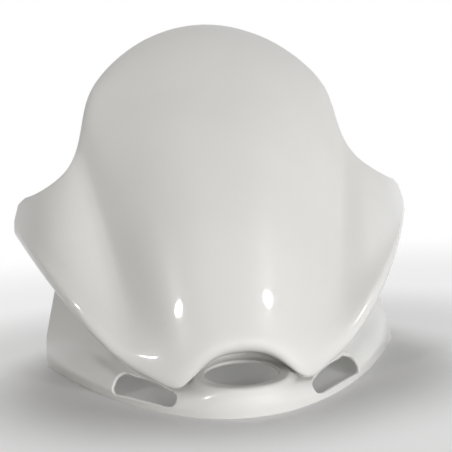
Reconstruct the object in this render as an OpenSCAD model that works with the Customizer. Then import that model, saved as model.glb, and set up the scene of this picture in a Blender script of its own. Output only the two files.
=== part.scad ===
// Headlight cowl of a motorbike: one moulded shell, painted gloss white.
// A tall hump leans back between two swept wings. Below them an apron runs round the front.
// It has a flat land with a round hole, two tapered slots and a turned-down lip.
// X is to the right, Y to the back and Z up. The origin is the centre of the round hole, on
// the face of its land. The shell is a loft through named guide curves, with an inner face
// that lies one wall behind the outer face.

/* [Overall] */
// Width from wing tip to wing tip
wing_span = 316; // [290:1:340]
// Height of the crown above the land
crown_h = 248.5; // [220:0.5:280]
// How far the crown lies behind the centre of the hole
crown_back = 150; // [130:1:170]

/* [Shell] */
// Thickness of the moulded wall
wall = 2.5; // [1.8:0.1:3.2]
// Depth of the turned-down lip below the land
lip_depth = 16.5; // [15:0.5:22]
// Height of the rolled edge along the wings
roll_h = 8; // [6:0.5:11]

/* [Land and hole] */
// Diameter of the round hole
hole_d = 47; // [40:0.5:50]
// Width of the flat land left round the hole
land_w = 5.5; // [4:0.5:7]

/* [Slots] */
// Length of a slot
slot_len = 53; // [40:0.5:55]
// Width of a slot at its outer end
slot_outer_w = 15.5; // [11:0.5:16]
// Width of a slot at its inner end
slot_inner_w = 10.5; // [8:0.5:12]
// Corner radius of a slot
slot_r = 4; // [2:0.5:4]

/* [Hidden] */

// Guide curves of the right half, each from the middle outwards through nine ribs: crest, bay,
// bay flank, foot, slot's inner end, slot's outer end, wing root, wing and wing tip.
tip_x = wing_span / 2;
land_r = hole_d / 2 + land_w;
sole = -lip_depth;
lip = [
    [0, -land_r - 4, sole], [16, -land_r - 2, sole], [29, -26, sole], [42, -18.5, sole],
    [57, -7.5, sole], [76, 11, sole], [97, 36.5, sole], [119, 69, sole], [137, 100, sole]];
deck = [
    [0, 1 - land_r, 0], [15, 3 - land_r, 0], [27, -19, -2], [40.5, -12, -5], [56, 1.5, -4.5],
    [74, 21, -2.5], [92, 53, 2], [115, 92, 4], [141.5, 125, 0]];
seat = [
    [0, land_r + 2.5, 0], [18.5, land_r - 4, 0], [land_r + 2, 3, -2], [39.5, -6, -5.2],
    [55, 6.5, -3.5], [72, 27, 0.5], [87, 63, 11], [106, 114, 36], [134, 150, 44]];
edge = [
    [0, -12, 14.2], [16, -12, 12], [30, -12, 2.4], [42, -9.5, -4], [57, -0.5, 1.6],
    [77, 11.5, 10.4], [102, 29, 31.2], [132, 67, 59], [tip_x, 118, 83]];
knee = [
    [0, 3, 46], [20, 4, 45], [36, 8, 42], [50, 16, 40], [62, 29, 41],
    [78, 43, 44], [102, 47, 57], [132.5, 77, 80], [tip_x, 120, 95]];
crown = [
    [0, crown_back - 12, crown_h - 8.5], [30, crown_back - 14, crown_h - 13],
    [58, 129, 220.8], [81.7, 120, 199.8], [96, 112, 175],
    [103, 107, 144], [112, 96, 126], [132, 96, 115], [tip_x - 4, 120.5, 107.5]];
rim = [
    [0, crown_back, crown_h], [30, crown_back - 1, crown_h - 4.5],
    [58.5, 140, 229.8], [82.7, 130, 207.8], [96.7, 119, 184],
    [103.5, 113, 152], [112.5, 100, 131], [131, 98, 117.5], [tip_x - 11, 112, 111]];
// How far each rib's face bows forward between knee and crown, and where that is steered
bow = [6, 6, 3, -2, -4, -3, 1, 1, 0];
bow_places = [0.27, 0.55, 0.83];
// Height of each rib's rolled edge
roll = [7, 7, 8, 8, 7, roll_h - 1, roll_h + 2, roll_h + 2, 4];

// Steps of the mesh in each span: across from rib to rib, and along a rib from lip to rim
across_steps = [3, 3, 3, 3, 3, 3, 3, 4];
along_steps = [2, 3, 3, 2, 3, 3, 3, 2, 3, 4, 3, 3, 3, 3, 4, 3, 4];
// Places of the deck and the seat along a rib, between which the land is pressed flat, and the
// share of a span over which that starts and ends
deck_place = 3;
seat_place = 6;
land_start = 1;
land_end = 0.5;
last_rib = len(across_steps);
last_place = len(along_steps);
// How far the hole's cutter reaches above the land, clear of the hump's underside
hole_cut_height = 1;

function mix(a, b, t) = a + (b - a) * t;
function flip(p) = [-p.x, p.y, p.z];
function raise(p, h) = p + [0, 0, h];
function smooth(t) = let(c = min(max(t, 0), 1)) c * c * (3 - 2 * c);
// How far a rib's face bows forward at a share t of the way from knee to crown
function bowed(j, t) = mix(knee[j], crown[j], t) - [0, bow[j] * 4 * t * (1 - t), 0];

// The points that steer rib j, from the foot of the lip up to the rim
function rib(j) =
    let(
        last = j == last_rib,
        brow = raise(edge[j], roll[j]),
        depth = deck[j].z - lip[j].z,
        gap = edge[j].z - seat[j].z
    )
    [
        lip[j],
        last ? mix(lip[j], deck[j], 0.4) : raise(lip[j], 0.4 * depth),
        last ? mix(lip[j], deck[j], 0.75) : raise(mix(lip[j], deck[j], 0.45), 0.4 * depth),
        deck[j],
        mix(deck[j], seat[j], 0.45),
        mix(deck[j], seat[j], 0.85),
        seat[j],
        raise(mix(seat[j], edge[j], 0.05), 0.35 * gap),
        raise(mix(seat[j], edge[j], 0.55), 0.2 * gap),
        edge[j],
        brow + mix(edge[j], knee[j], 0.1) - edge[j],
        mix(brow, knee[j], 0.45),
        knee[j],
        for (t = bow_places) bowed(j, t),
        crown[j],
        rim[j]
    ];
ribs = [for (j = [0:last_rib]) rib(j)];
ribs_flipped = [for (p = ribs[1]) flip(p)];

// The loft is a cubic B-spline both ways. Each rib is first moved out by a sixth of its bend
// across, so that the surface passes close to the guides.
steered = [for (j = [0:last_rib])
    j == last_rib ? ribs[j]
    : ribs[j] - (ribs[j + 1] - 2 * ribs[j] + (j == 0 ? ribs_flipped : ribs[j - 1])) / 6];

// Weights of four neighbouring points at a share t of the way from the second to the third,
// for the point itself and for its slope
function weights(t) =
    [pow(1 - t, 3), 3 * pow(t, 3) - 6 * t * t + 4, -3 * pow(t, 3) + 3 * t * t + 3 * t + 1, pow(t, 3)] / 6;
function slopes(t) = [-pow(1 - t, 2), 3 * t * t - 4 * t, -3 * t * t + 2 * t + 1, t * t] / 2;
function blend(w, rows, k) =
    w[0] * rows[k] + w[1] * rows[k + 1] + w[2] * rows[k + 2] + w[3] * rows[k + 3];
// A row carried on by one more point at each end, so that the loft reaches its ends
function extended(row) = [
    2 * row[0] - row[1],
    each row,
    2 * row[len(row) - 1] - row[len(row) - 2]];
// A half net with its mirror image beyond the middle and one more rib beyond the tip
function joined(half) = [
    [for (p = half[1]) flip(p)],
    each half,
    2 * half[last_rib] - half[last_rib - 1]];
// Places [span, share] along a list of spans, each cut into its number of steps
function places(steps) = [
    for (k = [0:len(steps) - 1]) for (i = [0:steps[k] - 1]) [k, i / steps[k]],
    [len(steps) - 1, 1]];
function rib_at(net, place) = extended(blend(weights(place[1]), net, place[0]));
function point_at(row, place) = blend(weights(place[1]), row, place[0]);

// Unit normals towards the outside where a rib place meets each of the places along it
function normals_at(net, place, along) =
    let(
        row = rib_at(net, place),
        over = extended(blend(slopes(place[1]), net, place[0]))
    )
    [for (q = along)
        let(n = cross(point_at(over, q), blend(slopes(q[1]), row, q[0])))
        n / norm(n)];

// The inner face is a second loft, steered by the same points moved in by the wall
outer_net = joined(steered);
knots_across = places([for (j = [1:last_rib]) 1]);
knots_along = places([for (k = [1:last_place]) 1]);
inner_net = joined([for (j = [0:last_rib])
    steered[j] - wall * normals_at(outer_net, knots_across[j], knots_along)]);

// The land is pressed flat round the hole, with a soft border outside it
function pressed(p, place, level) =
    let(
        ring = 1 - smooth((norm([p.x, p.y]) - land_r) / land_w),
        front = smooth((place - deck_place) / land_start + 1),
        back = smooth((seat_place - place) / land_end)
    )
    [p.x, p.y, mix(p.z, level, ring * front * back)];
// Points of the inner face stay above the sole, and the first of each rib lies on it
function above_sole(p, place) = [p.x, p.y, place == 0 ? sole : max(p.z, sole)];

outer_half = [for (c = places(across_steps))
    let(row = rib_at(outer_net, c))
    [for (q = places(along_steps)) pressed(point_at(row, q), q[0] + q[1], 0)]];
inner_half = [for (c = places(across_steps))
    let(row = rib_at(inner_net, c))
    [for (q = places(along_steps))
        above_sole(pressed(point_at(row, q), q[0] + q[1], -wall), q[0] + q[1])]];
function whole(half) = [
    for (i = [len(half) - 1:-1:1]) [for (p = half[i]) flip(p)],
    each half];
outer_skin = whole(outer_half);
inner_skin = whole(inner_half);
rows = len(outer_skin[0]);
columns = len(outer_skin);
skin_size = columns * rows;

// Indices of a grid point on the outer and the inner skin
function on_outer(i, j) = i * rows + j;
function on_inner(i, j) = skin_size + i * rows + j;
// A quad is split into two triangles
function split(a, b, c, d) = [[a, b, c], [a, c, d]];

module shell() {
    top = rows - 1;
    end = columns - 1;
    polyhedron(
        points = [for (c = outer_skin) each c, for (c = inner_skin) each c],
        faces = [
            for (i = [0:end - 1]) for (j = [0:top - 1]) each split(
                on_outer(i, j), on_outer(i, j + 1), on_outer(i + 1, j + 1), on_outer(i + 1, j)),
            for (i = [0:end - 1]) for (j = [0:top - 1]) each split(
                on_inner(i, j), on_inner(i + 1, j), on_inner(i + 1, j + 1), on_inner(i, j + 1)),
            for (i = [0:end - 1]) each split(
                on_outer(i, 0), on_outer(i + 1, 0), on_inner(i + 1, 0), on_inner(i, 0)),
            for (i = [0:end - 1]) each split(
                on_outer(i, top), on_inner(i, top), on_inner(i + 1, top), on_outer(i + 1, top)),
            for (j = [0:top - 1]) each split(
                on_outer(0, j), on_inner(0, j), on_inner(0, j + 1), on_outer(0, j + 1)),
            for (j = [0:top - 1]) each split(
                on_outer(end, j), on_outer(end, j + 1), on_inner(end, j + 1), on_inner(end, j))
        ],
        convexity = 8
    );
}

// Outline of a slot, its long axis along X and its wide end at +X
module slot_outline() {
    x = slot_len / 2 - slot_r;
    hull() {
        for (side = [-1, 1]) {
            translate([x, side * (slot_outer_w / 2 - slot_r)]) circle(r = slot_r, $fn = 32);
            translate([-x, side * (slot_inner_w / 2 - slot_r)]) circle(r = slot_r, $fn = 32);
        }
    }
}

// The slots lie in a slanted plane: its middle, its turn about Z, its lean back, and the
// slot's own turn in that plane
slot_middle = [59.3, 3.6, mix(deck[4].z, sole, 0.36)];
slot_turn = 42;
slot_lean = 48.5;
slot_twist = 3.5;
// How far a slot's cutter reaches below and above that plane
slot_cut_depth = 8;
slot_cut_height = 6;
module slot_cutter() {
    translate(slot_middle) rotate([0, 0, slot_turn]) rotate([slot_lean, 0, 0])
        rotate([0, 0, slot_twist]) translate([0, 0, -slot_cut_depth])
            linear_extrude(height = slot_cut_depth + slot_cut_height) slot_outline();
}

module cowl() {
    color("white") difference() {
        shell();
        translate([0, 0, -2 * wall])
            cylinder(h = 2 * wall + hole_cut_height, d = hole_d, $fn = 96);
        slot_cutter();
        mirror([1, 0, 0]) slot_cutter();
    }
}

cowl();
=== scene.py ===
# %% [markdown]
# # A motorbike's headlight cowl in gloss white
#
# The real part is one thin plastic moulding, painted gloss white. A tall hump leans back between
# two swept wings. Their lower edge is rolled in over an apron, which has a round hole in the
# middle, a tapered slot on each side and a turned-down lip in front.
#
# The CAD model comes first. It is the fixed frame: everything here sits in its space, in metres.

import bpy
import numpy as np
from mathutils import Matrix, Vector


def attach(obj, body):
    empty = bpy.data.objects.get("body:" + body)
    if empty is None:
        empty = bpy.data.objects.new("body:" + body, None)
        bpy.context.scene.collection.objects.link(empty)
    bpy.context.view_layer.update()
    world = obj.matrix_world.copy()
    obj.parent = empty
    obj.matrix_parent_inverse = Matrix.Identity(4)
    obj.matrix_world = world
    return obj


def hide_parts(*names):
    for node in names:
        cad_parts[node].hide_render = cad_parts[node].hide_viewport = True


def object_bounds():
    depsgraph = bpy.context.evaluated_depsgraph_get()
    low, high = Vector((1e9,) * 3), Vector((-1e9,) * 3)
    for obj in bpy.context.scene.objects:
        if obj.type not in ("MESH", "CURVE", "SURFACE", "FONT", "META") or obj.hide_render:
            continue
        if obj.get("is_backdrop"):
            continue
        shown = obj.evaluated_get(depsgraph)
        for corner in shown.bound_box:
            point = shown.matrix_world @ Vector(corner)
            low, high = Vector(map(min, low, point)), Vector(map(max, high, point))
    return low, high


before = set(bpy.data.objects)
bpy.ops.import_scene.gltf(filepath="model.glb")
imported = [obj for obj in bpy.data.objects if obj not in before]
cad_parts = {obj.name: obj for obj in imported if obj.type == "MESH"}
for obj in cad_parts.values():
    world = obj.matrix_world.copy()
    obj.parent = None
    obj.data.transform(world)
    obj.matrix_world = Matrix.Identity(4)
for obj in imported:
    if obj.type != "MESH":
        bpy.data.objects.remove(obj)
cad_low, cad_high = (np.array(corner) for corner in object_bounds())
MM = 0.001
print("nodes:", sorted(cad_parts), "box in mm:", np.round((cad_high - cad_low) / MM, 1))

# %% [markdown]
# ## The camera
#
# The camera stands low in front of the cowl, a little to its left. Its place was worked out from
# the round hole, whose outline in the photograph is an ellipse, and then eased until the slots and
# the whole outline fell where the photograph has them. The three directions below are its own
# right, up and view directions. A square picture that is 452 pixels wide, seen with a focal length
# of 600 pixels, makes a lens of about 48 mm on a sensor of 36 mm.

# %% Camera
picture_px, focal_px, sensor_mm = 452, 600, 36.0
nearest_seen = 0.01
camera_place = np.array([-44.4, -361.3, 122.3]) * MM
camera_right = np.array([0.9925, -0.1121, -0.0497])
camera_up = np.array([0.0587, 0.0787, 0.9952])
camera_view = np.array([0.1077, 0.9906, -0.0847])

camera_data = bpy.data.cameras.new("camera")
camera_data.sensor_width = sensor_mm
camera_data.lens = focal_px / picture_px * sensor_mm
camera_data.clip_start = nearest_seen
camera = bpy.data.objects.new("camera", camera_data)
bpy.context.scene.collection.objects.link(camera)
pose = np.eye(4)
pose[:3] = np.stack([camera_right, camera_up, -camera_view, camera_place], axis=1)
camera.matrix_world = Matrix(pose)
bpy.context.scene.camera = camera
print(f"lens {camera_data.lens:.1f} mm")

# %% [markdown]
# ## Driving sizes
#
# All sizes of the shell follow from these, in millimetres. They are the sizes of the CAD part.
# The depth of the lip is read from the frame, because the lip is the lowest thing on it.

# %% Sizes in millimetres
wing_span = 316.0
crown_h = 248.5
crown_back = 150.0
wall = 2.5
lip_depth = float(-cad_low[2] / MM)
roll_h = 8.0
hole_r = 47.0 / 2
land_w = 5.5
slot_len, slot_outer_w, slot_inner_w, slot_r = 53.0, 15.5, 10.5, 4.0
edge_r = 0.8
print(f"lip {lip_depth:.1f} mm deep, wall {wall} mm")

# %% [markdown]
# ## Guide curves
#
# A free-form moulding has no flat face to start from, so it is drawn as a boat is. Nine ribs run
# from the lip up to the rim, over one half of the cowl. Seven guide curves run across them:
# lip, deck, seat, edge, knee, crown and rim. Each row below is one guide, from the middle of the
# cowl outwards, and each entry is the place where it crosses a rib. The other half is a mirror
# image, so only one half is written. Two more rows hold one length for each rib: bow is how far
# it bulges forward between knee and crown, and roll is how high its rolled edge stands.

# %% Guide curves
tip_x = wing_span / 2
land_r = hole_r + land_w
sole = -lip_depth
lip = np.array([
    [0, -land_r - 4, sole], [16, -land_r - 2, sole], [29, -26, sole], [42, -18.5, sole],
    [57, -7.5, sole], [76, 11, sole], [97, 36.5, sole], [119, 69, sole], [137, 100, sole]])
deck = np.array([
    [0, 1 - land_r, 0], [15, 3 - land_r, 0], [27, -19, -2], [40.5, -12, -5], [56, 1.5, -4.5],
    [74, 21, -2.5], [92, 53, 2], [115, 92, 4], [141.5, 125, 0]])
seat = np.array([
    [0, land_r + 2.5, 0], [18.5, land_r - 4, 0], [land_r + 2, 3, -2], [39.5, -6, -5.2],
    [55, 6.5, -3.5], [72, 27, 0.5], [87, 63, 11], [106, 114, 36], [134, 150, 44]])
edge = np.array([
    [0, -12, 14.2], [16, -12, 12], [30, -12, 2.4], [42, -9.5, -4], [57, -0.5, 1.6],
    [77, 11.5, 10.4], [102, 29, 31.2], [132, 67, 59], [tip_x, 118, 83]])
knee = np.array([
    [0, 3, 46], [20, 4, 45], [36, 8, 42], [50, 16, 40], [62, 29, 41],
    [78, 43, 44], [102, 47, 57], [132.5, 77, 80], [tip_x, 120, 95]])
crown = np.array([
    [0, crown_back - 12, crown_h - 8.5], [30, crown_back - 14, crown_h - 13], [58, 129, 220.8],
    [81.7, 120, 199.8], [96, 112, 175], [103, 107, 144], [112, 96, 126], [132, 96, 115],
    [tip_x - 4, 120.5, 107.5]])
rim = np.array([
    [0, crown_back, crown_h], [30, crown_back - 1, crown_h - 4.5], [58.5, 140, 229.8],
    [82.7, 130, 207.8], [96.7, 119, 184], [103.5, 113, 152], [112.5, 100, 131],
    [131, 98, 117.5], [tip_x - 11, 112, 111]])
bow = np.array([6, 6, 3, -2, -4, -3, 1, 1, 0])
roll = np.array([7, 7, 8, 8, 7, roll_h - 1, roll_h + 2, roll_h + 2, 4])
print(len(lip), "ribs on each half")

# %% [markdown]
# ## Ribs
#
# A rib is a row of steering points. Between two guides it needs a few more, which say how the
# wall turns: a tight bend where the lip meets the deck, a rolled edge where the wing hangs over
# the apron, and a gentle bow up the face of the hump.

# %% Steering points of the ribs
def mix(a, b, share):
    """A point a share of the way from a to b: a plus share times the step from a to b."""
    return a + (b - a) * share


def raised(points, height):
    """The points moved up, each by its own height."""
    return points + np.outer(height, [0, 0, 1])


def rib_points():
    """Steering points, rib by rib: shape (ribs, places, 3).

    Each lies a share of the way from one guide to the next, and some are raised by a share of the
    height between them. Between knee and crown a point at share t also moves forward by
    4 t (1 - t) times the bow, a parabola."""
    depth = deck[:, 2] - lip[:, 2]
    gap = edge[:, 2] - seat[:, 2]
    brow = raised(edge, roll)
    foot = raised(lip, 0.4 * depth)
    bend = raised(mix(lip, deck, 0.45), 0.4 * depth)
    foot[-1], bend[-1] = mix(lip[-1], deck[-1], 0.4), mix(lip[-1], deck[-1], 0.75)
    rows = [
        lip, foot, bend, deck, mix(deck, seat, 0.45), mix(deck, seat, 0.85), seat,
        raised(mix(seat, edge, 0.05), 0.35 * gap), raised(mix(seat, edge, 0.55), 0.2 * gap), edge,
        brow + mix(edge, knee, 0.1) - edge, mix(brow, knee, 0.45), knee]
    for t in (0.27, 0.55, 0.83):
        rows.append(mix(knee, crown, t) - np.outer(bow * 4 * t * (1 - t), [0, 1, 0]))
    return np.stack(rows + [crown, rim], axis=1)


ribs = rib_points()
deck_place, seat_place, last_place = 3, 6, ribs.shape[1] - 1
land_end = 0.5
print("steering points of a rib:", ribs.shape[1])

# %% [markdown]
# ## The net
#
# A cubic B-spline doesn't pass through its steering points: it cuts their corners. Moving each
# point out by a sixth of the bend there brings the surface back to the guides. The mirror image
# of the net joins on in the middle, and one more row is added at each end by carrying the last
# step on, so that the surface reaches its own edge.

# %% The whole net
def carried_on(rows):
    """The rows with one more at each end, a straight step beyond the last."""
    return np.concatenate([2 * rows[:1] - rows[1:2], rows, 2 * rows[-1:] - rows[-2:-1]])


def carried_on_all_round(net):
    """The net with one more row at each of its four sides, carried on across and then along."""
    return carried_on(carried_on(net).swapaxes(0, 1)).swapaxes(0, 1)


def whole_net():
    """Net of both halves, each point less a sixth of the bend there, which is the point before
    plus the point after minus twice the point: shape (across + 2, along + 2, 3)."""
    mirror = np.array([-1, 1, 1])
    steered = ribs.copy()
    steered[1:-1] -= (ribs[2:] - 2 * ribs[1:-1] + ribs[:-2]) / 6
    steered[0] -= (ribs[1] - 2 * ribs[0] + ribs[1] * mirror) / 6
    both = np.concatenate([steered[:0:-1] * mirror, steered])
    return carried_on_all_round(both)


net = whole_net()
last_column = len(net) - 3
print("net:", net.shape, "columns run from 0 to", last_column)

# %% [markdown]
# ## A surface from a net
#
# The skin is a function of two numbers: u counts ribs from the left wing tip to the right one,
# and v counts steering points from the lip up to the rim. Its normal is worked out the plain way,
# from two small steps.

# %% Surface and normal
def taps(place, last):
    """First steering point and the four cubic B-spline weights at a place along a row."""
    first = np.clip(np.floor(place), 0, last - 1).astype(int)
    t = place - first
    weights = np.stack([
        (1 - t) ** 3, 3 * t ** 3 - 6 * t ** 2 + 4, -3 * t ** 3 + 3 * t ** 2 + 3 * t + 1, t ** 3])
    return first, weights / 6


def surface(net, u, v):
    """Points of the surface: the sum of sixteen steering points times their weights across and
    along."""
    i, across = taps(u, last_column)
    j, along = taps(v, last_place)
    return sum(
        (across[a] * along[b])[..., None] * net[i + a, j + b]
        for a in range(4) for b in range(4))


def normals_of(skin, u, v, step=0.002):
    """Unit normals: the cross product of the skin's slopes across and along."""
    over = skin(u + step, v) - skin(u - step, v)
    up = skin(u, v + step) - skin(u, v - step)
    normal = np.cross(over, up)
    return normal / np.linalg.norm(normal, axis=-1, keepdims=True)


middle = np.array([last_column / 2])
print("middle of the rim:", surface(net, middle, np.array([float(last_place)])))

# %% [markdown]
# ## Outer and inner face
#
# A wall could be made by pushing every point of the skin inwards, but where the rolled edge turns
# more sharply than the wall is thick, such points cross each other and the inside folds. The way
# out is to push the steering points inwards instead. The inner face is then a smooth surface of
# its own. Round the hole both faces are pressed flat, because a lamp or lock has to seat there.

# %% Outer and inner skin
def smooth(t):
    """0 below 0, 1 above 1, and 3 t squared minus 2 t cubed between them."""
    t = np.clip(t, 0, 1)
    return t * t * (3 - 2 * t)


def pressed(point, v, level):
    """The points with z pulled to a level: wholly inside land_r, fading over land_w outside it,
    and only between the deck and the seat."""
    from_axis = np.hypot(point[..., 0], point[..., 1])
    ring = 1 - smooth((from_axis - land_r) / land_w)
    share = ring * smooth(v - deck_place + 1) * smooth((seat_place - v) / land_end)
    point[..., 2] += share * (level - point[..., 2])
    return point


def outer_skin(u, v):
    """Points of the outer face: the surface of the net, with its land pressed level with z = 0."""
    return pressed(surface(net, u, v), v, 0.0)


def inner_skin(u, v):
    """Points of the inner face, before its foot is cut level: the surface of the inner net, with
    its land pressed one wall lower."""
    return pressed(surface(inner_net, u, v), v, -wall)


def inner_steering_points():
    """The net moved inwards: each steering point minus the wall times the surface's normal
    there, and then carried on by a row at each side."""
    knots = np.meshgrid(np.arange(last_column + 1.0), np.arange(last_place + 1.0), indexing="ij")
    core = net[1:-1, 1:-1] - wall * normals_of(lambda u, v: surface(net, u, v), *knots)
    return carried_on_all_round(core)


inner_net = inner_steering_points()
for v in (4.0, 12.0, 16.0):
    gap = np.linalg.norm(outer_skin(middle, np.array([v])) - inner_skin(middle, np.array([v])))
    print(f"wall on the middle rib at v = {v}: {gap:.2f} mm")

# %% [markdown]
# ## A grid with even steps
#
# Equal steps of u and v would crowd the small bends and starve the wide faces. The grid lines
# are placed by length instead, and a bend counts as extra length, so the rolled edges get more
# rows than the flat parts. The lengths are measured on a first, even net of probes. The grid stops
# a little short of the surface's own ends, which leaves room for the rounded edges.

# %% Grid lines
columns, rows_up = 232, 164
probes_across, probes_up = 161, 341
tip_inset, foot_inset, rim_inset = 0.03, 0.12, 0.06
bend_length = 5.0


def even_places(points, normals, places, count, axis):
    """Places with equal shares of length plus bend_length times the turn of the normal."""
    step = np.linalg.norm(np.diff(points, axis=axis), axis=-1)
    turn = np.linalg.norm(np.diff(normals, axis=axis), axis=-1)
    cost = (step + bend_length * turn).mean(axis=1 - axis)
    walked = np.concatenate([[0], np.cumsum(cost)])
    return np.interp(np.linspace(0, walked[-1], count), walked, places)


probe_u = np.linspace(tip_inset, last_column - tip_inset, probes_across)
probe_v = np.linspace(foot_inset, last_place - rim_inset, probes_up)
probe = np.meshgrid(probe_u, probe_v, indexing="ij")
probe_points, probe_normals = outer_skin(*probe), normals_of(outer_skin, *probe)
u_lines = even_places(probe_points, probe_normals, probe_u, columns, axis=0)
v_lines = even_places(probe_points, probe_normals, probe_v, rows_up, axis=1)
grid_u, grid_v = (g.ravel() for g in np.meshgrid(u_lines, v_lines, indexing="ij"))
index = np.arange(columns * rows_up).reshape(columns, rows_up)
quads = np.stack([index[:-1, :-1], index[1:, :-1], index[1:, 1:], index[:-1, 1:]], -1)
quads = quads.reshape(-1, 4)
print("grid:", columns, "by", rows_up, "=", len(quads), "quads")

# %% [markdown]
# ## Where the openings are
#
# The round hole and the two slots are told by their distance function: negative inside the
# opening and positive outside. A slot is a flat-sided plate with rounded corners, so its
# distance is the distance to a smaller flat-sided plate, minus the corner radius. In the
# photograph the inner end is rounder than the outer one, above all at its upper corner, so the
# smaller plate runs to a point there.

# %% Distance to the openings
slot_drop = 0.36
slot_middle = np.array([59.3, 3.6, mix(deck[4, 2], sole, slot_drop)])
slot_turn, slot_lean, slot_twist = np.radians([42.0, 48.5, 3.5])
point_above, point_below, point_level = 5.0, 3.0, -0.45


def turned(axis, angle):
    """The matrix that turns about X (0) or Z (2) by an angle."""
    c, s = np.cos(angle), np.sin(angle)
    if axis == 0:
        return np.array([[1, 0, 0], [0, c, -s], [0, s, c]])
    return np.array([[c, -s, 0], [s, c, 0], [0, 0, 1]])


slot_axes = turned(2, slot_turn) @ turned(0, slot_lean) @ turned(2, slot_twist)


def hole_place(points):
    """Place across the round hole: x and y."""
    return points[..., :2]


def slot_place(side):
    """A function that gives a point's place in the plane of the slot on that side: the step from
    the slot's middle to the point, measured along the slot's own axes."""
    mirror = np.array([side, 1, 1])
    return lambda points: ((points * mirror - slot_middle) @ slot_axes)[..., :2]


def hole_distance(place):
    """Distance to the hole's edge: distance from its axis minus its radius."""
    return np.linalg.norm(place, axis=-1) - hole_r


def slot_distance(place):
    """Distance to the slot's edge: the distance to the nearest side of the smaller plate,
    negative inside it, minus slot_r."""
    half = slot_len / 2 - slot_r
    outer, inner = slot_outer_w / 2 - slot_r, slot_inner_w / 2 - slot_r
    above = mix(inner, outer, point_above / slot_len)
    below = mix(inner, outer, point_below / slot_len)
    corners = np.array([
        [half, -outer], [half, outer], [point_above - half, above],
        [-half, point_level], [point_below - half, -below]])
    sides = np.roll(corners, -1, axis=0) - corners
    to_point = place[..., None, :] - corners
    along = np.clip((to_point * sides).sum(-1) / (sides ** 2).sum(-1), 0, 1)
    gap = np.linalg.norm(to_point - along[..., None] * sides, axis=-1).min(-1)
    cross = sides[:, 0] * to_point[..., 1] - sides[:, 1] * to_point[..., 0]
    return np.where((cross > 0).all(-1), -gap, gap) - slot_r


openings = {
    "hole": (hole_place, hole_distance),
    "slot_right": (slot_place(1), slot_distance),
    "slot_left": (slot_place(-1), slot_distance)}
print("openings:", list(openings))

# %% [markdown]
# ## Cutting the openings
#
# A Boolean cut would leave thin slivers and a rough highlight round each opening. Here the grid
# is fitted to the edge instead. Squares whose middle lies inside an opening are dropped, and the
# corners that are left on the stair-like edge slide over the skin until they lie on the outline.
# They stop edge_r outside it, which leaves room for a rounded edge.

# %% Drop the squares inside the openings
def free_edges(faces, count):
    """The edges that only one face has, as pairs (from, to) with that face on their left."""
    pairs = np.stack([faces, np.roll(faces, -1, axis=1)], -1).reshape(-1, 2)
    there = pairs[:, 0] * count + pairs[:, 1]
    back = pairs[:, 1] * count + pairs[:, 0]
    return pairs[~np.isin(there, back)]


count = len(grid_u)
middles = outer_skin(grid_u, grid_v)[quads].mean(1)
below_seat = grid_v[quads].mean(1) < seat_place
inside = {
    name: (distance_of(place_of(middles)) < edge_r) & below_seat
    for name, (place_of, distance_of) in openings.items()}
kept = ~np.any(list(inside.values()), axis=0)
corners_of = {
    name: np.intersect1d(quads[dropped], quads[kept]) for name, dropped in inside.items()}
quads = quads[kept]
border = free_edges(quads, count)
after, before = np.full(count, -1), np.full(count, -1)
after[border[:, 0]], before[border[:, 1]] = border[:, 1], border[:, 0]
for name, dropped in inside.items():
    print(name, "squares dropped:", dropped.sum(), "corners on its edge:", len(corners_of[name]))

# %% [markdown]
# ## Fitting the grid to the outlines
#
# The corners on an outline are slid onto it, then each moves towards the middle of its two
# neighbours and is slid again. A dozen such rounds space them evenly.

# %% Slide the corners
evening_rounds = 12


def slid_to_edge(u, v, place_of, distance_of, rounds=5):
    """Newton's method: a corner's place moves along the slope of the distance, by the distance,
    and the 2 by 2 matrix of the skin's slopes turns that into steps of u and v."""
    small = 1e-3
    for _ in range(rounds):
        place = place_of(outer_skin(u, v))
        gap = distance_of(place) - edge_r
        slope = np.stack([
            distance_of(place + [small, 0]) - distance_of(place - [small, 0]),
            distance_of(place + [0, small]) - distance_of(place - [0, small])], -1) / (2 * small)
        across = place_of(outer_skin(u + small, v)) - place_of(outer_skin(u - small, v))
        along = place_of(outer_skin(u, v + small)) - place_of(outer_skin(u, v - small))
        matrix = np.stack([across, along], -1) / (2 * small)
        step = np.linalg.solve(matrix, (-gap[:, None] * slope)[..., None])[..., 0]
        u, v = u + step[:, 0], v + step[:, 1]
    return u, v


start_u, start_v = grid_u.copy(), grid_v.copy()
for name, (place_of, distance_of) in openings.items():
    own = corners_of[name]
    for _ in range(evening_rounds):
        grid_u[own], grid_v[own] = slid_to_edge(grid_u[own], grid_v[own], place_of, distance_of)
        for grid in (grid_u, grid_v):
            grid[own] = mix(grid[own], (grid[after[own]] + grid[before[own]]) / 2, 0.5)
    grid_u[own], grid_v[own] = slid_to_edge(grid_u[own], grid_v[own], place_of, distance_of)
    gap = distance_of(place_of(outer_skin(grid_u[own], grid_v[own]))) - edge_r
    print(name, "largest gap in mm:", np.abs(gap).max().round(5))

# %% [markdown]
# ## Passing the slide on
#
# The corners around an outline would be left behind in squeezed squares, and the highlights there
# would wobble. So the slide is passed on to them: each takes the mean of its neighbours' slides, a
# little weakened, round after round, until the slide has faded out.

# %% Pass the slide on to the squares around
fading_rounds, fading = 60, 0.96


def mean_of_neighbours(values, faces):
    """For each corner the mean of a value over the corners that it shares an edge with: the sum
    over its edges, divided by their number."""
    pairs = np.stack([faces, np.roll(faces, -1, axis=1)], -1).reshape(-1, 2)
    pairs = np.concatenate([pairs, pairs[:, ::-1]])
    total = np.bincount(pairs[:, 0], values[pairs[:, 1]], minlength=count)
    return total / np.maximum(np.bincount(pairs[:, 0], minlength=count), 1)


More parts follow.
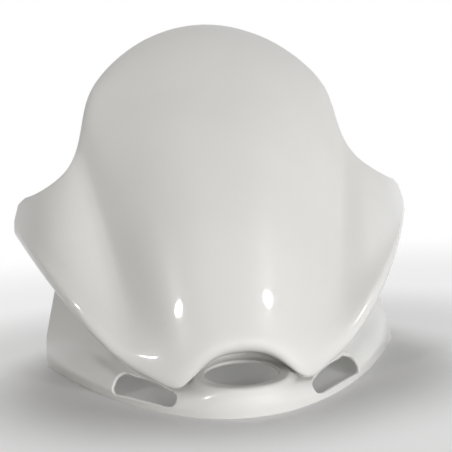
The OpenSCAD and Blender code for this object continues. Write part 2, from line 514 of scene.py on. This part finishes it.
on_outline = np.zeros(count, bool)
on_outline[np.concatenate(list(corners_of.values()))] = True
free = ~on_outline
free[border.ravel()] = False
for grid, start in ((grid_u, start_u), (grid_v, start_v)):
    slide = np.where(on_outline, grid - start, 0.0)
    for _ in range(fading_rounds):
        slide[free] = fading * mean_of_neighbours(slide, quads)[free]
    grid[:] = start + slide
print("corners that moved along:", int((np.abs(grid_v - start_v) > 1e-3).sum()))

# %% [markdown]
# ## Closing the wall with rounded edges
#
# Outer and inner skin use the same grid, so each corner has its partner on the other side of the
# wall. Along every free edge, at the lip, the rim, the tips and the openings, a narrow strip goes
# from one skin to the other: a quarter circle, the thickness of the wall, and a quarter circle.

# %% The strip round the free edges
skin_points, skin_normals = outer_skin(grid_u, grid_v), normals_of(outer_skin, grid_u, grid_v)
inner_points, inner_normals = inner_skin(grid_u, grid_v), normals_of(inner_skin, grid_u, grid_v)
inner_points[:, 2] = np.maximum(inner_points[:, 2], sole)
ring = border[:, 0]
tangent = skin_points[after[ring]] - skin_points[before[ring]]
outward = np.cross(tangent, skin_normals[ring])
outward /= np.linalg.norm(outward, axis=-1, keepdims=True)

quarter = np.radians([30, 60, 90])
through = skin_points[ring] - inner_points[ring]
thickness = np.linalg.norm(through, axis=-1, keepdims=True)
through /= thickness
layers, layer_normals = [], []
for points, facing, angles in ((skin_points, 1, quarter), (inner_points, -1, quarter[::-1])):
    for angle in angles:
        aside, back = np.sin(angle) * outward, facing * (np.cos(angle) - 1) * through
        layers.append(points[ring] + edge_r * (back + aside))
        layer_normals.append(facing * np.cos(angle) * through + aside)
print("free edges:", len(border), "layers in the strip:", len(layers))

# %% [markdown]
# ## One closed mesh
#
# The squares of the outer skin, the same squares of the inner skin turned round, and the strip
# between them make one closed shell. The foot of the lip is cut level, as the mould leaves it.
# Smooth shading would guess each normal from the faces around it. The true normals are known here,
# so they are handed to Blender, and the gloss runs over the shell without any sign of the grid.

# %% The finished mesh
place_in_ring = np.full(count, -1)
place_in_ring[ring] = np.arange(len(ring))
start, end = border[:, 0], border[:, 1]
levels = [(start, end)]
for k in range(len(layers)):
    base = 2 * count + k * len(ring)
    levels.append((base + place_in_ring[start], base + place_in_ring[end]))
levels.append((start + count, end + count))
strip = np.concatenate([
    np.stack([upper[1], upper[0], lower[0], lower[1]], -1)
    for upper, lower in zip(levels, levels[1:])])
faces = np.concatenate([quads, quads[:, ::-1] + count, strip])
all_points = np.concatenate([skin_points, inner_points] + layers)
all_normals = np.concatenate([skin_normals, -inner_normals] + layer_normals)
all_points[:, 2] = np.maximum(all_points[:, 2], sole)

used = np.unique(faces)
renumber = np.full(len(all_points), -1)
renumber[used] = np.arange(len(used))
faces, all_points, all_normals = renumber[faces], all_points[used], all_normals[used]
skin_faces = len(quads)

mesh = bpy.data.meshes.new("painted_shell")
mesh.from_pydata((all_points * MM).tolist(), [], faces.tolist())
mesh.polygons.foreach_set("use_smooth", np.ones(len(faces), bool))
mesh.normals_split_custom_set_from_vertices(all_normals.tolist())
painted_shell = bpy.data.objects.new("painted_shell", mesh)
bpy.context.scene.collection.objects.link(painted_shell)
loose = len(free_edges(faces, len(all_points)))
print("faces:", len(faces), "triangles:", 2 * len(faces), "open edges:", loose)

# %% [markdown]
# ## Gloss white paint
#
# Gloss paint is a coloured layer under a clear one. The coat of the shader gives the sharp
# highlight and the base below it stays a little softer. Sprayed paint is never quite level: under
# a lamp its highlights have ragged ends, from a fine ripple called orange peel. A very weak bump
# makes that ripple, and a wide, faint noise keeps the white from being one flat number.

# %% Paint
paint_whites = ((0.70, 0.695, 0.675, 1), (0.725, 0.72, 0.70, 1))
paint_roughness, coat_roughness, lacquer_ior = 0.32, 0.035, 1.5
clouds_per_m, ripples_per_m, ripple_height, ripple_strength = 14, 650, 0.000025, 0.6


def shader_of(material):
    """The material's node tree and its Principled shader."""
    material.use_nodes = True
    tree = material.node_tree
    return tree, tree.nodes["Principled BSDF"]


def noise(tree, scale, detail):
    """A noise texture on object coordinates, so that it stays where it is on the part."""
    place = tree.nodes.new("ShaderNodeTexCoord")
    texture = tree.nodes.new("ShaderNodeTexNoise")
    texture.inputs["Scale"].default_value = scale
    texture.inputs["Detail"].default_value = detail
    tree.links.new(place.outputs["Object"], texture.inputs["Vector"])
    return texture


def two_colours(tree, texture, colours, ends=(0.35, 0.65)):
    """A ramp from a darker to a lighter colour over the middle of a noise."""
    ramp = tree.nodes.new("ShaderNodeValToRGB")
    for stop, position, colour in zip(ramp.color_ramp.elements, ends, colours):
        stop.position, stop.color = position, colour
    tree.links.new(texture.outputs["Fac"], ramp.inputs["Fac"])
    return ramp.outputs["Color"]


def rippled(tree, shader, texture, height, strength):
    """A bump from a noise, height metres high."""
    bump = tree.nodes.new("ShaderNodeBump")
    bump.inputs["Distance"].default_value = height
    bump.inputs["Strength"].default_value = strength
    tree.links.new(texture.outputs["Fac"], bump.inputs["Height"])
    tree.links.new(bump.outputs["Normal"], shader.inputs["Normal"])
    return bump


gloss_paint = bpy.data.materials.new("gloss_white_paint")
tree, paint = shader_of(gloss_paint)
clouds = noise(tree, clouds_per_m, 2)
tree.links.new(two_colours(tree, clouds, paint_whites), paint.inputs["Base Color"])
paint.inputs["Roughness"].default_value = paint_roughness
paint.inputs["IOR"].default_value = lacquer_ior
paint.inputs["Coat Weight"].default_value = 1.0
paint.inputs["Coat Roughness"].default_value = coat_roughness
paint.inputs["Coat IOR"].default_value = lacquer_ior
ripple = rippled(tree, paint, noise(tree, ripples_per_m, 2), ripple_height, ripple_strength)
tree.links.new(ripple.outputs["Normal"], paint.inputs["Coat Normal"])
print("material:", gloss_paint.name, "ripple in mm:", ripple_height / MM)

# %% [markdown]
# ## Spray that drifts inside
#
# The inside of such a part isn't painted. Spray drifts round every edge, though, so a narrow band
# along the edges has a thin coat of paint that fades out inwards. A number on each corner of the
# mesh says how much paint reached it, from its distance to the nearest free edge. All distances at
# once would fill the memory, so the edge is taken in chunks.

# %% How far the spray reached
spray_reach = 9.0
chunks = 40
nearest = np.full(count, np.inf)
for chunk in np.array_split(inner_points[ring], chunks):
    gap = np.linalg.norm(inner_points[:, None] - chunk[None], axis=-1).min(1)
    nearest = np.minimum(nearest, gap)
spray_inside = 1 - smooth(nearest / spray_reach)
spray = np.ones(len(renumber))
spray[count:2 * count] = spray_inside
spray = spray[used]
attribute = mesh.attributes.new("spray", "FLOAT", "POINT")
attribute.data.foreach_set("value", spray.astype(np.float32))
print("inner corners with some spray:", int((spray_inside > 0).sum()))

# %% [markdown]
# ## Bare plastic inside
#
# Where no paint reached, the inside shows the white plastic itself. It is duller than the paint,
# and has the fine grain that the mould leaves. The shader mixes the two finishes by the number on
# each corner: the colour and the roughness go from the plastic's to the paint's.

# %% Bare plastic
bare_whites = ((0.60, 0.595, 0.565, 1), (0.64, 0.635, 0.605, 1))
sprayed_white = (0.71, 0.705, 0.685, 1)
bare_roughness, sprayed_roughness, plastic_ior = 0.5, 0.36, 1.5
streaks_per_m, grains_per_m, grain_height, grain_strength = 30, 1500, 0.00008, 0.5


def mixed(tree, share, first, second, kind="RGBA"):
    """A Mix node: the first value plus a share, from another node, of the step to the second."""
    node = tree.nodes.new("ShaderNodeMix")
    node.data_type = kind
    group = {"RGBA": 6, "FLOAT": 2}[kind]
    tree.links.new(share, node.inputs[0])
    for socket, value in ((node.inputs[group], first), (node.inputs[group + 1], second)):
        if isinstance(value, bpy.types.NodeSocket):
            tree.links.new(value, socket)
        else:
            socket.default_value = value
    return node.outputs[{"RGBA": 2, "FLOAT": 0}[kind]]


bare_plastic = bpy.data.materials.new("bare_white_plastic")
tree, plastic = shader_of(bare_plastic)
reached = tree.nodes.new("ShaderNodeAttribute")
reached.attribute_name = "spray"
spray_share = reached.outputs["Fac"]
bare = two_colours(tree, noise(tree, streaks_per_m, 3), bare_whites)
colour = mixed(tree, spray_share, bare, sprayed_white)
roughness = mixed(tree, spray_share, bare_roughness, sprayed_roughness, "FLOAT")
tree.links.new(colour, plastic.inputs["Base Color"])
tree.links.new(roughness, plastic.inputs["Roughness"])
plastic.inputs["IOR"].default_value = plastic_ior
rippled(tree, plastic, noise(tree, grains_per_m, 2), grain_height, grain_strength)

mesh.materials.append(gloss_paint)
mesh.materials.append(bare_plastic)
finish_of_face = np.zeros(len(faces), np.int32)
finish_of_face[skin_faces:2 * skin_faces] = 1
mesh.polygons.foreach_set("material_index", finish_of_face)
mesh.update()

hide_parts("cowl")
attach(painted_shell, "root")
print("painted faces:", int((finish_of_face == 0).sum()), "bare faces:", skin_faces)

# %% [markdown]
# ## Floor and background
#
# The floor lies under the lip and catches the shadow. A pale floor meets a white background in a
# hard line, which would cut across the cowl. So the floor fades into plain white with distance,
# as a paper sweep does in a studio. Only the camera, reflections and views through glass see that
# white: other rays meet an ordinary pale floor, so it doesn't light the part.

# %% Floor
def link_maths(tree, operation, first, second):
    """A Math node: the operation on two inputs, each a number or another node's output."""
    node = tree.nodes.new("ShaderNodeMath")
    node.operation = operation
    for socket, value in zip(node.inputs, (first, second)):
        if isinstance(value, (int, float)):
            socket.default_value = value
        else:
            tree.links.new(value, socket)
    return node.outputs[0]


def seen_ray(tree):
    """1 for a ray from the camera, a reflection or a view through glass, and 0 for the rest: the
    largest of the three tests."""
    rays = tree.nodes.new("ShaderNodeLightPath")
    seen = link_maths(tree, "MAXIMUM", rays.outputs["Is Camera Ray"], rays.outputs["Is Glossy Ray"])
    return link_maths(tree, "MAXIMUM", seen, rays.outputs["Is Transmission Ray"])


floor_half = 6.0
footprint_middle, footprint_narrowing = (0.0, 0.06, 0.0), (0.75, 1.0, 1.0)
floor_grey, floor_roughness, floor_gloss = 0.82, 0.8, 0.2
reach = 0.8
white_share = ((0.0, 0.0), (0.11, 0.0), (0.19, 0.5), (0.4, 0.8), (1.0, 1.0))
floor_z = float(cad_low[2])
floor_mesh = bpy.data.meshes.new("floor")
floor_mesh.from_pydata(
    [(x * floor_half, y * floor_half, floor_z) for x, y in ((-1, -1), (1, -1), (1, 1), (-1, 1))],
    [], [(0, 1, 2, 3)])
floor = bpy.data.objects.new("floor", floor_mesh)
bpy.context.scene.collection.objects.link(floor)

floor_finish = bpy.data.materials.new("pale_floor")
tree, pale = shader_of(floor_finish)
pale.inputs["Base Color"].default_value = (floor_grey, floor_grey, floor_grey, 1)
pale.inputs["Roughness"].default_value = floor_roughness
pale.inputs["Specular IOR Level"].default_value = floor_gloss
place = tree.nodes.new("ShaderNodeTexCoord")
centred = tree.nodes.new("ShaderNodeMapping")
centred.vector_type = "TEXTURE"
centred.inputs["Location"].default_value = footprint_middle
centred.inputs["Scale"].default_value = [1 / s for s in footprint_narrowing]
tree.links.new(place.outputs["Object"], centred.inputs["Vector"])
distance = tree.nodes.new("ShaderNodeVectorMath")
distance.operation = "LENGTH"
tree.links.new(centred.outputs["Vector"], distance.inputs[0])
fade = tree.nodes.new("ShaderNodeValToRGB")
fade.color_ramp.interpolation = "EASE"
for place_on_ramp, _ in white_share[1:-1]:
    fade.color_ramp.elements.new(place_on_ramp)
for stop, (place_on_ramp, share) in zip(fade.color_ramp.elements, white_share):
    stop.position, stop.color = place_on_ramp, (share, share, share, 1)
how_far = link_maths(tree, "DIVIDE", distance.outputs["Value"], reach)
tree.links.new(how_far, fade.inputs["Fac"])
far_white = tree.nodes.new("ShaderNodeEmission")
white_here = link_maths(tree, "MULTIPLY", fade.outputs["Color"], seen_ray(tree))
chosen = tree.nodes.new("ShaderNodeMixShader")
tree.links.new(white_here, chosen.inputs["Fac"])
tree.links.new(pale.outputs[0], chosen.inputs[1])
tree.links.new(far_white.outputs[0], chosen.inputs[2])
tree.links.new(chosen.outputs[0], tree.nodes["Material Output"].inputs["Surface"])
floor_mesh.materials.append(floor_finish)
floor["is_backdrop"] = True
print("floor at", round(floor_z / MM, 2), "mm, plain white beyond", reach, "m")

# %% [markdown]
# ## The white around
#
# The background is plain white too, and by the same trick it is white only to the camera and to
# reflections. To every other ray it is a dim, even glow, which keeps the shadows from going black
# and leaves the modelling of the form to the lamps.

# %% World
glow, seen_white = 0.09, 1.0
world = bpy.data.worlds.new("studio")
bpy.context.scene.world = world
world.use_nodes = True
tree = world.node_tree
tree.nodes.clear()
dim, white = tree.nodes.new("ShaderNodeBackground"), tree.nodes.new("ShaderNodeBackground")
for background, strength in ((dim, glow), (white, seen_white)):
    background.inputs["Color"].default_value = (1, 1, 1, 1)
    background.inputs["Strength"].default_value = strength
chosen = tree.nodes.new("ShaderNodeMixShader")
out = tree.nodes.new("ShaderNodeOutputWorld")
tree.links.new(seen_ray(tree), chosen.inputs["Fac"])
tree.links.new(dim.outputs[0], chosen.inputs[1])
tree.links.new(white.outputs[0], chosen.inputs[2])
tree.links.new(chosen.outputs[0], out.inputs["Surface"])
print("world light:", glow)

# %% [markdown]
# ## Lamps
#
# Two small lamps make the two sharp highlights low on the hump. Their directions come from the
# photograph: the view direction at each highlight, reflected in the surface there, points at the
# lamp. They are too small to light the part, so wide lamps do that. As in the photograph, most of
# the light comes from low down in front and from the right, and a little warm light from the left.
# One more lamp, behind the cowl, lights its inside. The wide ones are hidden from reflections,
# because gloss paint would show them as pale blots.

# %% Lamps
def lamp(name, target, direction, distance, width, height, watts, colour=(1, 1, 1), turn=0.0):
    """An oval lamp facing a target, given in millimetres. Its place is the target plus distance,
    in metres, times the direction. Its width runs level, or is turned by an angle in degrees about
    the lamp's own axis."""
    direction = np.array(direction) / np.linalg.norm(direction)
    data = bpy.data.lights.new(name, "AREA")
    data.shape = "ELLIPSE"
    data.size, data.size_y, data.energy, data.color = width, height, watts, colour
    obj = bpy.data.objects.new(name, data)
    bpy.context.scene.collection.objects.link(obj)
    side = np.cross([0, 0, 1], direction)
    side /= np.linalg.norm(side)
    up = np.cross(direction, side)
    c, s = np.cos(np.radians(turn)), np.sin(np.radians(turn))
    pose = np.eye(4)
    pose[:3, 0], pose[:3, 1], pose[:3, 2] = c * side + s * up, c * up - s * side, direction
    pose[:3, 3] = np.array(target) * MM + direction * distance
    obj.matrix_world = Matrix(pose)
    return obj


lamp("spot_left", (-37, 8, 41), (-0.705, -0.432, 0.563), 1.4, 0.21, 0.034, 1.9, turn=38)
lamp("spot_right", (17.6, 3.5, 44.7), (0.475, -0.553, 0.687), 1.4, 0.19, 0.014, 1.6, turn=-30)
soft_lamps = [
    lamp("soft_right", (25, -10, 10), (0.5, -0.85, 0.16), 0.85, 0.5, 0.5, 5.2),
    lamp("soft_front", (20, -10, 0), (0.1, -1.0, 0.02), 0.9, 0.5, 0.5, 2.9),
    lamp("soft_left", (0, 30, 80), (-0.8, -0.55, 0.25), 1.5, 1.0, 1.0, 1.0, (1.0, 0.8, 0.55)),
    lamp("soft_back", (0, 60, 60), (-0.2, 1.0, 0.06), 1.5, 1.0, 0.2, 8.0)]
for wide in soft_lamps:
    wide.visible_glossy = False

# %% [markdown]
# ## The view transform
#
# The Standard view shows each colour as it is written.

# %% View settings and the end
bpy.context.scene.view_settings.view_transform = "Standard"
